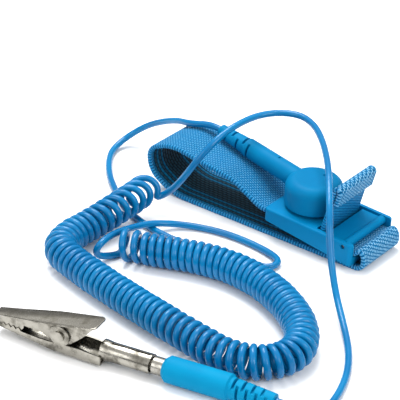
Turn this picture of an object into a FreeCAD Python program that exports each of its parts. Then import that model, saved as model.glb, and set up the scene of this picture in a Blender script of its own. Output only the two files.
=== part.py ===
import FreeCAD, Part
import math
import os
import Sketcher

# Wrist strap for draining static charge: an elastic band with a lever clasp, a snap cap on a
# stud, a coiled cord, and a banana plug that carries an alligator clip.
# Frame: origin on the table under the middle of the band, +X along the band's loop towards the
# clasp, +Y across the band, +Z up. Millimetres and degrees.

SIZES = {
    # band
    "band_width": 18.0, "band_knit": 0.9, "band_lining": 0.5,
    "loop_reach": 40.1, "loop_front": 38.4, "loop_height": 17.0, "tail_height": 18.3, "tail_lean": 12.0,
    "hem_length": 5.2, "hem_gap": 0.2,
    # clasp, in its own frame: u along it, w up from the lower left edge
    "clasp_at": 4.5, "clasp_lift": 6.1, "clasp_tilt": 3.0,
    "clasp_length": 30.5, "clasp_top": 3.9, "wedge_drop": 2.8, "clasp_wall": 1.4, "base_round": 0.6,
    "platform_length": 17.7, "floor_top": -0.4, "side_gap": 0.2, "band_gap": 0.1,
    "slot_depth": 15.0, "slot_floor": 0.9,
    "pivot_u": 27.6, "pivot_w": 2.6, "pin_radius": 0.7, "pin_play": 0.05, "pin_recess": 0.7,
    "lever_nose": 20.2, "lever_top": 3.2, "lever_gap": 0.2, "barrel_radius": 1.3,
    "plate_length": 12.5, "plate_width": 14.0, "plate_sheet": 0.4, "plate_start": 1.5,
    # snap fastener, heights above the platform
    "stud_u": 9.6, "shank_radius": 1.5, "flange_radius": 3.4, "flange_sheet": 0.45,
    "bulb_radius": 2.1, "bulb_top": 3.1, "head_radius": 2.6, "head_thick": 0.6,
    "socket_low": 0.7, "socket_top": 4.8, "socket_radius": 4.6, "socket_rim": 6.6,
    "socket_sheet": 0.35, "socket_play": 0.2, "spring_wire": 0.28,
    "cap_radius": 8.4, "cap_low": 1.1, "cap_top": 9.0, "cap_round": 3.0, "cap_play": 0.1,
    "arm_rise": 3.7, "arm_yaw": 7.55, "arm_height": 5.3, "arm_start": 6.0, "arm_end": 27.0,
    "arm_thick": 3.1, "arm_thin": 2.85, "relief_end": 38.2, "relief_thick": 2.6,
    "relief_thin": 1.9, "slit": 0.8, "slit_start": 24.8, "slit_pitch": 2.4, "slit_core": 1.45,
    "resistor_radius": 1.0, "resistor_start": 8.8, "resistor_length": 6.4, "wire_radius": 0.25,
    "crimp_radius": 0.9, "crimp_start": 17.2, "room_radius": 1.35, "room_start": 5.2,
    "cord_start": 20.8,
    # cord
    "cord_diameter": 2.0, "cord_play": 0.05, "swivel_gap": 0.4, "exit_run": 3.6,
    "coil_diameter": 9.6, "coil_exit": 1.9,
    # banana plug and boot, along the plug from the boot's front face
    "plug_x": 28.0, "plug_y": -82.4, "plug_lift": 3.7, "plug_yaw": 11.5,
    "boot_radius": 3.6, "boot_length": 18.5, "boot_relief_end": 31.0, "boot_relief_thick": 3.0,
    "boot_relief_thin": 2.0, "collar_radius": 2.4, "collar_length": 3.0, "core_radius": 1.3,
    "core_length": 19.0, "core_inside": 7.0, "lantern_radius": 2.1, "lantern_sheet": 0.3,
    # alligator clip
    "barrel_bore": 2.2, "clip_sheet": 0.45, "clip_barrel_front": 15.5, "clip_barrel_back": 3.7,
    "jaw_tip": 50.5, "jaw_back": 17.4, "jaw_half": 3.4, "jaw_tip_half": 1.9,
    "hinge_x": 29.5, "hinge_rise": 2.5, "rivet_radius": 0.9, "rivet_head": 1.5, "ear_radius": 3.0,
    "jaw_play": 0.15, "thumb_round": 1.6, "sheet_round": 0.3, "thumb_back": 18.6, "thumb_rise": 7.9, "jaw_roof": 6.1, "tooth": 0.8, "tooth_pitch": 1.6,
}

doc = FreeCAD.newDocument("wrist_strap")
sheet = doc.addObject("Spreadsheet::Sheet", "Sizes")
for row, (name, value) in enumerate(SIZES.items(), start=1):
    sheet.set("A%d" % row, str(value))
    sheet.setAlias("A%d" % row, name)
doc.recompute()


def size(name):
    """Reads one driving size back from the sheet."""
    return float(sheet.get(name))


Vec = FreeCAD.Vector
Turn = FreeCAD.Rotation
Place = FreeCAD.Placement
UP = Vec(0, 0, 1)
ACROSS = Vec(0, 1, 0)
ALONG = Vec(1, 0, 0)
nodes = []


def finish(thing, label, place):
    """Names a finished sub-part and puts it where it belongs."""
    thing.Label = label
    thing.Placement = place
    nodes.append(thing)
    return thing


# ---- frames of the clasp, the snap cap, its arm and the plug

clasp_frame = Place(Vec(size("clasp_at"), 0, size("clasp_lift")), Turn(ACROSS, size("clasp_tilt")))
snap_frame = clasp_frame * Place(Vec(size("stud_u"), 0, size("clasp_top")), Turn())
arm_turn = Turn(UP, 180 - size("arm_yaw")) * Turn(ACROSS, -size("arm_rise"))
arm_local = Place(Vec(0, 0, size("arm_height")), arm_turn)
arm_frame = snap_frame * arm_local
plug_frame = Place(Vec(size("plug_x"), size("plug_y"), size("plug_lift")), Turn(UP, size("plug_yaw")))
LENGTHWISE = Turn(ACROSS, 90)


# ---- sketches and features of a body

def new_body(label, place):
    body = doc.addObject("PartDesign::Body", label)
    return finish(body, label, place)


def new_sketch(body, name, role):
    """A sketch on one of its own body's origin planes."""
    drawing = body.newObject("Sketcher::SketchObject", name)
    for feature in body.Origin.OriginFeatures:
        if feature.Role == role:
            drawing.AttachmentSupport = [(feature, "")]
    drawing.MapMode = "FlatFace"
    return drawing


def polygon(drawing, corners):
    """A closed outline; each corner's place is a pair of expressions on the sheet."""
    count = len(corners)
    first = drawing.GeometryCount
    for i in range(count):
        start = Vec(i, i * i, 0)
        end = Vec((i + 1) % count, ((i + 1) % count) ** 2, 0)
        drawing.addGeometry(Part.LineSegment(start, end), False)
    for i in range(count):
        drawing.addConstraint(Sketcher.Constraint("Coincident", first + i, 2, first + (i + 1) % count, 1))
    for i, corner in enumerate(corners):
        for kind, rule in zip(("DistanceX", "DistanceY"), corner):
            index = drawing.addConstraint(Sketcher.Constraint(kind, -1, 1, first + i, 1, 1.0))
            drawing.setExpression("Constraints[%d]" % index, rule)


def circle(drawing, across, up, radius):
    """A circle whose centre and radius are expressions on the sheet."""
    ring = drawing.addGeometry(Part.Circle(Vec(1, 1, 0), UP, 1), False)
    for kind, rule in (("DistanceX", across), ("DistanceY", up)):
        index = drawing.addConstraint(Sketcher.Constraint(kind, -1, 1, ring, 3, 1.0))
        drawing.setExpression("Constraints[%d]" % index, rule)
    index = drawing.addConstraint(Sketcher.Constraint("Radius", ring, 1.0))
    drawing.setExpression("Constraints[%d]" % index, radius)


def feature(body, kind, name, drawing, length):
    """A pad or pocket of a sketch, equally to both sides."""
    made = body.newObject("PartDesign::" + kind, name)
    made.Profile = drawing
    made.SideType = "Symmetric"
    made.setExpression("Length", length)
    return made


def revolution(label, place, corners):
    """A body turned about its own Z axis from corners given as radius and height."""
    body = new_body(label, place)
    drawing = new_sketch(body, label + "_outline", "XZ_Plane")
    polygon(drawing, corners)
    made = body.newObject("PartDesign::Revolution", label + "_turned")
    made.Profile = drawing
    made.ReferenceAxis = (drawing, ["V_Axis"])
    made.Angle = 360.0
    return body


def round_edges(body, name, radius, chosen):
    """Rounds the edges of the body's last feature that chosen() accepts."""
    doc.recompute()
    last = body.Tip
    picked = ["Edge%d" % (i + 1) for i, edge in enumerate(last.Shape.Edges) if chosen(edge)]
    made = body.newObject("PartDesign::Fillet", name)
    made.Base = (last, picked)
    made.setExpression("Radius", radius)
    doc.recompute()


# ---- simple solids and what joins them

def solid(kind, name, rules, place=None):
    """A Part primitive whose sizes are expressions on the sheet."""
    made = doc.addObject("Part::" + kind, name)
    for key, rule in rules.items():
        made.setExpression(key, rule)
    if place:
        made.Placement = place
    return made


def rod(name, radius, length, place):
    return solid("Cylinder", name, {"Radius": radius, "Height": length}, place)


def joined(name, shapes):
    made = doc.addObject("Part::MultiFuse", name)
    made.Shapes = shapes
    return made


def cut(name, base, tools):
    made = doc.addObject("Part::Cut", name)
    made.Base = base
    made.Tool = tools[0] if len(tools) == 1 else joined(name + "_tools", tools)
    return made


def own_shape(label, shape, place=None):
    """A sub-part whose shape is worked out in this file."""
    made = doc.addObject("Part::Feature", label)
    made.Shape = shape
    return finish(made, label, place or Place())


# ---- a path of straight runs joined by tangent arcs

def corner_arc(before, corner, after, radius=None):
    """Start, middle, end, centre and radius of the arc that rounds one corner."""
    back = before - corner
    ahead = after - corner
    half_turn = (math.pi - back.getAngle(ahead)) / 2
    if radius is None:
        radius = 0.45 * min(back.Length, ahead.Length) / math.tan(half_turn)
    reach = radius * math.tan(half_turn)
    back.normalize()
    ahead.normalize()
    bisector = back + ahead
    bisector.normalize()
    centre = corner + bisector * (radius / math.cos(half_turn))
    start = corner + back * reach
    end = corner + ahead * reach
    middle = centre - bisector * radius
    return start, middle, end, centre, radius


def rounded_path(points, radii=None):
    """Edges along the points, and the radius at each inner one."""
    edges = []
    found = []
    at = points[0]
    for i in range(1, len(points) - 1):
        given = radii[i] if radii else None
        start, middle, end, centre, radius = corner_arc(points[i - 1], points[i], points[i + 1], given)
        edges.append(Part.LineSegment(at, start).toShape())
        edges.append(Part.Arc(start, middle, end).toShape())
        found.append(radius)
        at = end
    edges.append(Part.LineSegment(at, points[-1]).toShape())
    return edges, found


# ---- the band: one strap bent along a path in the XZ plane, a knit and a lining bonded to it

def on_clasp(u, w):
    return clasp_frame.multVec(Vec(u, 0, w))


def band_route():
    """Corners of the band's middle line, and the radii of the tight ones."""
    half = (size("band_knit") + size("band_lining")) / 2
    slot_mid = size("slot_floor") + size("band_gap") + half
    run_mid = size("floor_top") + size("band_gap") + half
    left = half - size("loop_reach")
    right = size("loop_front") - half
    top = size("loop_height") - half
    rise_u = size("platform_length") + size("band_gap") + half
    lean = math.radians(size("tail_lean"))
    tail_top = Vec(rise_u + math.tan(lean) * (size("tail_height") - run_mid), 0, size("tail_height"))
    fold = 2 * half + size("hem_gap")
    hem_top = tail_top + Vec(math.cos(lean), 0, -math.sin(lean)) * fold
    hem_end = hem_top - Vec(math.sin(lean), 0, math.cos(lean)) * size("hem_length")
    route = [
        (on_clasp(size("slot_depth") - 1.4, slot_mid), None),
        (on_clasp(-3.0, slot_mid), 8.0),
        (Vec(-8.0, 0, 0.82 * top), 14.0),
        (Vec(left + 7.9, 0, top + 0.7), None),
        (Vec(left - 0.9, 0, 0.82 * top), None),
        (Vec(left - 0.2, 0, 0.35 * top), None),
        (Vec(left + 8.4, 0, half), None),
        (Vec(right + 0.3, 0, half), 2.6),
        (Vec(right + 0.2, 0, half + 4.5), None),
        (Vec(right - 1.0, 0, half + 5.9), None),
        (on_clasp(size("clasp_length") - 0.3, run_mid), 2.0),
        (on_clasp(rise_u, run_mid), half + 0.2),
        (clasp_frame.multVec(tail_top), fold / 2 - 0.01),
        (clasp_frame.multVec(hem_top), fold / 2 - 0.01),
        (clasp_frame.multVec(hem_end), None),
    ]
    return [point for point, radius in route], [radius for point, radius in route]


def offset_side(points, radii, shift):
    """The band's middle line moved to its left by shift."""
    edges = []
    first = points[1] - points[0]
    first.normalize()
    at = points[0] + Vec(-first.z, 0, first.x) * shift
    for i in range(1, len(points) - 1):
        start, middle, end, centre, radius = corner_arc(points[i - 1], points[i], points[i + 1], radii[i])
        ahead = points[i] - points[i - 1]
        beyond = points[i + 1] - points[i]
        turns_left = ahead.x * beyond.z - ahead.z * beyond.x > 0
        ratio = (radius - shift) / radius if turns_left else (radius + shift) / radius
        start, middle, end = [centre + (p - centre) * ratio for p in (start, middle, end)]
        edges.append(Part.LineSegment(at, start).toShape())
        edges.append(Part.Arc(start, middle, end).toShape())
        at = end
    last = points[-1] - points[-2]
    last.normalize()
    end = points[-1] + Vec(-last.z, 0, last.x) * shift
    edges.append(Part.LineSegment(at, end).toShape())
    return edges


def ribbon(low, high):
    """The layer of the band between two shifts from its middle line."""
    points, radii = band_route()
    near = offset_side(points, radii, low)
    far = offset_side(points, radii, high)
    ends = [Part.LineSegment(near[k].Vertexes[v].Point, far[k].Vertexes[v].Point).toShape()
            for k, v in ((0, 0), (-1, 1))]
    outline = Part.Wire(Part.__sortEdges__(near + far + ends))
    layer = Part.Face(outline).extrude(ACROSS * size("band_width"))
    layer.translate(ACROSS * (-size("band_width") / 2))
    shank = Part.makeCylinder(size("shank_radius"), size("clasp_top"))
    shank.Placement = clasp_frame * Place(Vec(size("stud_u"), 0, 0), Turn())
    return layer.cut(shank)


def make_band():
    half = (size("band_knit") + size("band_lining")) / 2
    own_shape("band_knit", ribbon(-half, -half + size("band_knit")))
    own_shape("band_lining", ribbon(half - size("band_lining"), half))


# ---- the clasp: moulded base, sprung lever on a steel pin, contact plate under it

def make_clasp_base():
    body = new_body("clasp_base", clasp_frame)
    inner = "Sizes.band_width + 2 * Sizes.side_gap"
    outer = inner + " + 2 * Sizes.clasp_wall"
    side = new_sketch(body, "base_side", "XZ_Plane")
    polygon(side, [("0", "0"), ("Sizes.clasp_length", "-Sizes.wedge_drop"),
                   ("Sizes.clasp_length", "Sizes.clasp_top"), ("0", "Sizes.clasp_top")])
    feature(body, "Pad", "base_block", side, outer)

    def upright(edge):
        ends = [vertex.Point for vertex in edge.Vertexes]
        return len(ends) == 2 and (ends[0] - ends[1]).cross(UP).Length < 0.01

    def outer_top(edge):
        box = edge.BoundBox
        return box.ZLength < 0.01 and box.ZMin > size("clasp_top") - 0.01

    round_edges(body, "base_corners", "Sizes.clasp_wall", upright)
    round_edges(body, "base_rim", "Sizes.base_round", outer_top)
    well = new_sketch(body, "lever_well", "XZ_Plane")
    beyond = "Sizes.clasp_length + 1"
    polygon(well, [("Sizes.platform_length", "Sizes.floor_top"), (beyond, "Sizes.floor_top"),
                   (beyond, "Sizes.clasp_top + 1"), ("Sizes.platform_length", "Sizes.clasp_top + 1")])
    feature(body, "Pocket", "lever_well_cut", well, inner)
    slot = new_sketch(body, "band_slot", "XZ_Plane")
    ceiling = "Sizes.slot_floor + Sizes.band_knit + Sizes.band_lining + 2 * Sizes.band_gap"
    polygon(slot, [("-1", "Sizes.slot_floor"), ("Sizes.slot_depth", "Sizes.slot_floor"),
                   ("Sizes.slot_depth", ceiling), ("-1", ceiling)])
    feature(body, "Pocket", "band_slot_cut", slot, inner)
    pin = new_sketch(body, "pin_bore", "XZ_Plane")
    circle(pin, "Sizes.pivot_u", "Sizes.pivot_w", "Sizes.pin_radius")
    feature(body, "Pocket", "pin_bore_cut", pin, outer + " + 2")
    shank = new_sketch(body, "shank_bore", "XY_Plane")
    circle(shank, "Sizes.stud_u", "0", "Sizes.shank_radius")
    feature(body, "Pocket", "shank_bore_cut", shank, "4 * Sizes.clasp_top")
    head = new_sketch(body, "head_bore", "XY_Plane")
    circle(head, "Sizes.stud_u", "0", "Sizes.head_radius + Sizes.side_gap")
    feature(body, "Pocket", "head_bore_cut", head, "2 * Sizes.slot_floor + 0.1")
    return body


def make_clasp_lever():
    body = new_body("clasp_lever", clasp_frame)
    width = "Sizes.band_width + 2 * Sizes.side_gap - 2 * Sizes.lever_gap"
    plate = new_sketch(body, "lever_side", "XZ_Plane")
    low = "Sizes.pivot_w - Sizes.barrel_radius"
    polygon(plate, [("Sizes.lever_nose + 0.5", low), ("Sizes.pivot_u", low),
                    ("Sizes.pivot_u", "Sizes.pivot_w + 0.9 * Sizes.barrel_radius"),
                    ("Sizes.pivot_u - 1.2", "Sizes.lever_top"), ("Sizes.lever_nose + 0.6", "Sizes.lever_top"),
                    ("Sizes.lever_nose", "Sizes.lever_top - 0.7"), ("Sizes.lever_nose", low + " + 0.5")])
    feature(body, "Pad", "lever_plate", plate, width)
    barrel = new_sketch(body, "lever_barrel", "XZ_Plane")
    circle(barrel, "Sizes.pivot_u", "Sizes.pivot_w", "Sizes.barrel_radius")
    feature(body, "Pad", "lever_barrel_pad", barrel, width)
    bore = new_sketch(body, "lever_bore", "XZ_Plane")
    circle(bore, "Sizes.pivot_u", "Sizes.pivot_w", "Sizes.pin_radius + Sizes.pin_play")
    feature(body, "Pocket", "lever_bore_cut", bore, width + " + 2")
    return body


def make_clasp_metal():
    width = size("band_width") + 2 * size("side_gap") + 2 * size("clasp_wall")
    start = Vec(size("pivot_u"), width / 2 - size("pin_recess"), size("pivot_w"))
    at = clasp_frame * Place(start, Turn(ALONG, 90))
    pin = rod("lever_pin", "Sizes.pin_radius",
              "Sizes.band_width + 2 * Sizes.side_gap + 2 * Sizes.clasp_wall - 2 * Sizes.pin_recess", at)
    finish(pin, "lever_pin", at)
    slope = math.degrees(math.atan(size("wedge_drop") / size("clasp_length")))
    corner = Vec(size("plate_start"), -size("plate_width") / 2, -size("plate_sheet"))
    at = clasp_frame * Place(Vec(), Turn(ACROSS, slope)) * Place(corner, Turn())
    plate = solid("Box", "contact_plate", {"Length": "Sizes.plate_length", "Width": "Sizes.plate_width",
                                           "Height": "Sizes.plate_sheet"})
    finish(plate, "contact_plate", at)


# ---- the snap fastener: riveted stud, socket with a ring spring, moulded cap with an arm

def make_snap_stud():
    head_low = "Sizes.slot_floor - Sizes.clasp_top - Sizes.head_thick"
    head_top = "Sizes.slot_floor - Sizes.clasp_top"
    revolution("snap_stud", snap_frame, [
        ("0", head_low), ("Sizes.head_radius", head_low), ("Sizes.head_radius", head_top),
        ("Sizes.shank_radius", head_top), ("Sizes.shank_radius", "0"),
        ("Sizes.flange_radius", "0"), ("Sizes.flange_radius", "Sizes.flange_sheet"),
        ("Sizes.shank_radius", "Sizes.flange_sheet"), ("Sizes.shank_radius", "Sizes.bulb_top - 1.6"),
        ("Sizes.bulb_radius", "Sizes.bulb_top - 1.1"), ("Sizes.bulb_radius", "Sizes.bulb_top - 0.5"),
        ("Sizes.bulb_radius - 0.5", "Sizes.bulb_top"), ("0", "Sizes.bulb_top")])


def make_snap_socket():
    bore = "Sizes.bulb_radius + Sizes.socket_play"
    groove = bore + " + 2 * Sizes.spring_wire - 0.05"
    middle = "Sizes.bulb_top - 0.85"
    rim_top = "Sizes.socket_low + Sizes.socket_sheet"
    revolution("snap_socket", snap_frame, [
        (bore, "Sizes.socket_low"), ("Sizes.socket_rim", "Sizes.socket_low"),
        ("Sizes.socket_rim", rim_top), ("Sizes.socket_radius", rim_top),
        ("Sizes.socket_radius", "Sizes.socket_top"), ("0", "Sizes.socket_top"),
        ("0", "Sizes.bulb_top + 0.8"), (bore, "Sizes.bulb_top + 0.8"),
        (bore, middle + " + Sizes.spring_wire + 0.07"), (groove, middle + " + Sizes.spring_wire + 0.07"),
        (groove, middle + " - Sizes.spring_wire - 0.07"), (bore, middle + " - Sizes.spring_wire - 0.07")])
    at = snap_frame * Place(Vec(0, 0, size("bulb_top") - 0.85), Turn())
    ring = solid("Torus", "socket_spring", {
        "Radius1": "Sizes.bulb_radius + 0.07 + Sizes.spring_wire", "Radius2": "Sizes.spring_wire"})
    finish(ring, "socket_spring", at)


def along_arm(distance, up=0.0):
    """A place in the cap's frame, at a distance along the arm, its X along the arm."""
    return arm_local * Place(Vec(distance, 0, up), Turn())


def make_snap_cap():
    low = Place(Vec(0, 0, size("cap_low")), Turn())
    drum = solid("Cylinder", "cap_drum", {"Radius": "Sizes.cap_radius",
                                          "Height": "Sizes.cap_top - Sizes.cap_low"}, low)
    doc.recompute()
    rim = [i + 1 for i, edge in enumerate(drum.Shape.Edges)
           if edge.BoundBox.ZLength < 0.01 and edge.BoundBox.ZMin > size("cap_top") - 0.1]
    dome = doc.addObject("Part::Fillet", "cap_dome")
    dome.Base = drum
    dome.Edges = [(index, size("cap_round"), size("cap_round")) for index in rim]
    arm = solid("Cone", "cap_arm", {
        "Radius1": "Sizes.arm_thick", "Radius2": "Sizes.arm_thin",
        "Height": "Sizes.arm_end - Sizes.arm_start"},
        along_arm(size("arm_start")) * Place(Vec(), LENGTHWISE))
    relief = solid("Cone", "cap_relief", {
        "Radius1": "Sizes.relief_thick", "Radius2": "Sizes.relief_thin",
        "Height": "Sizes.relief_end - Sizes.arm_end"},
        along_arm(size("arm_end")) * Place(Vec(), LENGTHWISE))
    body = joined("cap_body", [dome, arm, relief])
    well = rod("cap_well", "Sizes.socket_radius + Sizes.cap_play",
               "Sizes.socket_top + Sizes.cap_play - Sizes.cap_low + 1",
               Place(Vec(0, 0, size("cap_low") - 1), Turn()))
    room = rod("resistor_room", "Sizes.room_radius", "Sizes.cord_start - Sizes.room_start + 0.6",
               along_arm(size("room_start")) * Place(Vec(), LENGTHWISE))
    bore = rod("cord_bore", "Sizes.cord_diameter / 2 + Sizes.cord_play", "Sizes.relief_end - Sizes.cord_start + 2",
               along_arm(size("cord_start")) * Place(Vec(), LENGTHWISE))
    marks = [rod("gate_mark", "0.45", "1", Place(Vec(1.0, 3.2, size("cap_top") - 0.35), Turn())),
             rod("arm_mark", "0.4", "1", along_arm(14.5, size("arm_thick") - 0.45))]
    slits = []
    for i in range(5):
        distance = size("slit_start") + i * size("slit_pitch")
        for side in (1, -1):
            name = "slit_%d_%s" % (i, "a" if side > 0 else "b")
            box = solid("Box", name, {"Length": "Sizes.slit", "Width": "8", "Height": "4"})
            spin = Turn(ALONG, (0 if i % 2 else 90) + (0 if side > 0 else 180))
            offset = Place(Vec(0, -4, size("slit_core")), Turn())
            box.Placement = along_arm(distance) * Place(Vec(), spin) * offset
            slits.append(box)
    cap = cut("snap_cap", body, [well, room, bore] + marks + slits)
    finish(cap, "snap_cap", snap_frame)


def make_cap_inside():
    """The series resistor, its leads, the crimp and the cord's end inside the arm."""
    def inside(label, radius, start, length):
        at = arm_frame * Place(Vec(start, 0, 0), LENGTHWISE)
        finish(rod(label, radius, length, at), label, at)

    body_end = size("resistor_start") + size("resistor_length")
    inside("resistor", "Sizes.resistor_radius", size("resistor_start"), "Sizes.resistor_length")
    inside("resistor_lead_front", "Sizes.wire_radius", size("room_start") + 0.2,
           "Sizes.resistor_start - Sizes.room_start - 0.2")
    inside("resistor_lead_back", "Sizes.wire_radius", body_end,
           "Sizes.crimp_start - Sizes.resistor_start - Sizes.resistor_length")
    inside("snap_crimp", "Sizes.crimp_radius", size("crimp_start"), "Sizes.cord_start - Sizes.crimp_start")
    inside("cord_end", "Sizes.cord_diameter / 2", size("cord_start"), "Sizes.relief_end - Sizes.cord_start")


# ---- the cord: a lead from the snap, the coil, and a lead to the plug

SNAP_LEAD = [
    (-34.8, 4.6, 17.8), (-42.0, 7.4, 15.4), (-49.6, 9.4, 11.8), (-57.0, 10.2, 7.6),
    (-62.6, 7.6, 3.0), (-63.2, 0.8, 1.1), (-58.6, -6.4, 1.1), (-52.0, -13.2, 1.1), (-45.6, -18.0, 1.1),
    (-39.0, -22.8, 1.1), (-31.4, -26.4, 1.1), (-23.4, -28.4, 1.1), (-15.2, -29.4, 1.1),
    (-5.6, -28.4, 1.1), (4.6, -26.6, 1.1), (12.6, -25.4, 1.1), (16.0, -24.7, 1.1), (17.8, -22.8, 1.2),
    (17.4, -19.8, 1.4), (12.6, -17.8, 1.2), (4.2, -16.8, 1.1), (-4.6, -17.2, 1.1),
    (-12.4, -19.2, 1.1), (-18.6, -23.2, 1.7), (-22.4, -28.8, 3.0), (-23.4, -35.0, 4.2),
    (-23.2, -41.4, 5.8), (-22.4, -47.2, 7.0), (-22.0, -51.4, 6.6), (-23.3, -51.8, 3.8),
    (-22.9, -50.2, 1.7),
]

COIL = [
    (-20.5, -45.3, 4.8), (-11.2, -42.3, 4.8), (-1.2, -38.0, 4.8), (9.5, -35.2, 4.8),
    (20.0, -35.4, 4.8), (30.4, -38.2, 4.8), (40.6, -43.4, 4.8), (48.4, -50.8, 4.8), (51.2, -58.8, 4.8),
    (47.4, -66.6, 4.8), (38.4, -70.0, 4.8), (26.0, -68.8, 4.8), (8.0, -66.4, 4.8), (-10.0, -63.6, 4.8),
    (-23.0, -60.9, 4.8), (-31.2, -58.6, 4.8), (-33.8, -52.2, 4.8), (-33.2, -44.6, 5.0),
    (-32.0, -37.8, 6.0), (-30.9, -30.0, 7.2), (-31.2, -20.6, 7.6),
]

PLUG_LEAD = [
    (-27.2, -17.4, 5.6), (-23.6, -17.0, 8.8), (-19.4, -16.8, 14.4), (-15.9, -15.2, 20.4),
    (-13.8, -11.2, 24.6), (-12.8, -5.4, 26.9), (-12.0, 0.4, 27.5), (-11.0, 6.2, 27.6),
    (-7.6, 11.8, 27.6), (-1.6, 14.6, 27.6), (4.4, 12.6, 27.6), (10.0, 8.4, 27.6), (16.4, 2.2, 27.2),
    (23.2, -5.7, 26.8), (28.8, -13.1, 25.0), (33.2, -18.9, 21.4), (35.8, -22.2, 16.2),
    (38.6, -24.8, 9.8), (43.6, -29.2, 4.4), (50.6, -35.6, 1.8), (58.0, -43.6, 1.1),
    (63.6, -52.4, 1.1), (66.8, -60.8, 1.1), (68.4, -68.2, 1.3), (67.4, -73.4, 2.6),
]


def points_of(route):
    return [Vec(*point) for point in route]


def tube(label, points, diameter):
    """A plain cord solid; prints its length, tightest radius and how true its volume is."""
    edges, radii = rounded_path(points)
    path = Part.Wire(edges)
    start = points[1] - points[0]
    section = Part.Wire([Part.Circle(points[0], start, diameter / 2).toShape()])
    swept = path.makePipeShell([section], True, True)
    expected = math.pi * diameter * diameter / 4 * path.Length
    print(label, "length %.1f" % path.Length, "tightest radius %.2f" % min(radii),
          "volume ratio %.4f" % (swept.Volume / expected))
    print("  radii", [round(radius, 1) for radius in radii])
    own_shape(label, swept)


def coil_rim(end, beside, degrees):
    """Where the wire leaves the coil's end face, at an angle about it, and the next point out."""
    out = end - beside
    out.normalize()
    side = out.cross(UP)
    side.normalize()
    radius = (size("coil_diameter") - size("cord_diameter")) / 2
    angle = math.radians(degrees)
    start = end + side * (radius * math.cos(angle)) + side.cross(out) * (radius * math.sin(angle))
    return start, start + out * size("coil_exit")


def make_cord():
    coil = points_of(COIL)
    diameter = size("cord_diameter")
    leave = size("relief_end") + size("swivel_gap")
    snap_exit = arm_frame.multVec(Vec(leave, 0, 0))
    snap_first = arm_frame.multVec(Vec(leave + size("exit_run"), 0, 0))
    plug_exit = plug_frame.multVec(Vec(size("boot_relief_end"), 0, 0))
    plug_first = plug_frame.multVec(Vec(size("boot_relief_end") + size("exit_run"), 0, 0))
    start_b, first_b = coil_rim(coil[0], coil[1], 230)
    start_a, first_a = coil_rim(coil[-1], coil[-2], -70)
    for name, point in (("snap exit", snap_exit), ("snap first", snap_first), ("plug exit", plug_exit),
                        ("plug first", plug_first), ("coil start b", start_b), ("first b", first_b),
                        ("coil start a", start_a), ("first a", first_a)):
        print(name, "%.2f %.2f %.2f" % (point.x, point.y, point.z))
    tube("lead_snap", [snap_exit, snap_first] + points_of(SNAP_LEAD) + [first_b, start_b], diameter)
    tube("lead_plug", [start_a, first_a] + points_of(PLUG_LEAD) + [plug_first, plug_exit], diameter)
    tube("cord_coil", coil, size("coil_diameter"))


# ---- the banana plug: moulded boot, turned core, lantern spring

def make_boot():
    at = plug_frame * Place(Vec(), LENGTHWISE)
    body = revolution("plug_boot", at, [
        ("Sizes.collar_radius", "0"), ("Sizes.boot_radius - 0.9", "0"),
        ("Sizes.boot_radius", "1.1"), ("Sizes.boot_radius", "Sizes.boot_length"),
        ("Sizes.boot_relief_thick", "Sizes.boot_length + 0.4"),
        ("Sizes.boot_relief_thin", "Sizes.boot_relief_end"),
        ("Sizes.cord_diameter / 2", "Sizes.boot_relief_end"),
        ("Sizes.cord_diameter / 2", "Sizes.core_inside"), ("Sizes.collar_radius", "Sizes.core_inside")])
    for name, role, first in (("slits_side", "XZ_Plane", 1.2), ("slits_top", "YZ_Plane", 2.4)):
        drawing = new_sketch(body, name, role)
        for i in range(4):
            start = "Sizes.boot_length + %.2f" % (first + i * 2.6)
            for sign in ("", "-"):
                inner = sign + "Sizes.slit_core"
                outer = sign + "(Sizes.boot_radius + 1)"
                polygon(drawing, [(inner, start), (outer, start), (outer, start + " + Sizes.slit"),
                                  (inner, start + " + Sizes.slit")])
        feature(body, "Pocket", name + "_cut", drawing, "2 * Sizes.boot_radius + 2")


def make_banana():
    at = plug_frame * Place(Vec(), LENGTHWISE)
    revolution("banana_core", at, [
        ("0", "-Sizes.core_length"), ("0.6", "-Sizes.core_length"),
        ("Sizes.core_radius", "1.2 - Sizes.core_length"), ("Sizes.core_radius", "-Sizes.collar_length"),
        ("Sizes.collar_radius", "-Sizes.collar_length"), ("Sizes.collar_radius", "Sizes.core_inside"),
        ("0", "Sizes.core_inside")])
    back = "-Sizes.collar_length - 0.6"
    front = "1.6 - Sizes.core_length"
    inner = "Sizes.core_radius + Sizes.pin_play"
    body = revolution("banana_spring", at, [
        (inner, front), (inner + " + Sizes.lantern_sheet", front),
        ("Sizes.lantern_radius", front + " + 4"), ("Sizes.lantern_radius", back + " - 4"),
        (inner + " + Sizes.lantern_sheet", back), (inner, back),
        ("Sizes.lantern_radius - Sizes.lantern_sheet", back + " - 4"),
        ("Sizes.lantern_radius - Sizes.lantern_sheet", front + " + 4")])
    for name, role in (("gap_side", "XZ_Plane"), ("gap_top", "YZ_Plane")):
        drawing = new_sketch(body, name, role)
        polygon(drawing, [("-0.4", front + " + 1.2"), ("0.4", front + " + 1.2"),
                          ("0.4", back + " - 1.2"), ("-0.4", back + " - 1.2")])
        feature(body, "Pocket", name + "_cut", drawing, "3 * Sizes.lantern_radius")


# ---- the alligator clip: two folded jaws on a rivet, a spring between them, a barrel

def plan_block(half_back, half_tip, low=-20.0, high=20.0):
    """What lies inside the jaws' outline seen from above."""
    back = 0.0
    hinge = -size("hinge_x")
    tip = -size("jaw_tip") - 5
    slope = (half_back - half_tip) / (size("jaw_tip") - size("hinge_x") - 3)
    tip_half = max(half_tip - slope * 5, 0.3)
    knee = hinge - 3
    outline = [(back, half_back), (knee, half_back), (tip, tip_half),
               (tip, -tip_half), (knee, -half_back), (back, -half_back)]
    corners = [Vec(x, y, low) for x, y in outline]
    return Part.Face(Part.makePolygon(corners + corners[:1])).extrude(UP * (high - low))


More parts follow.
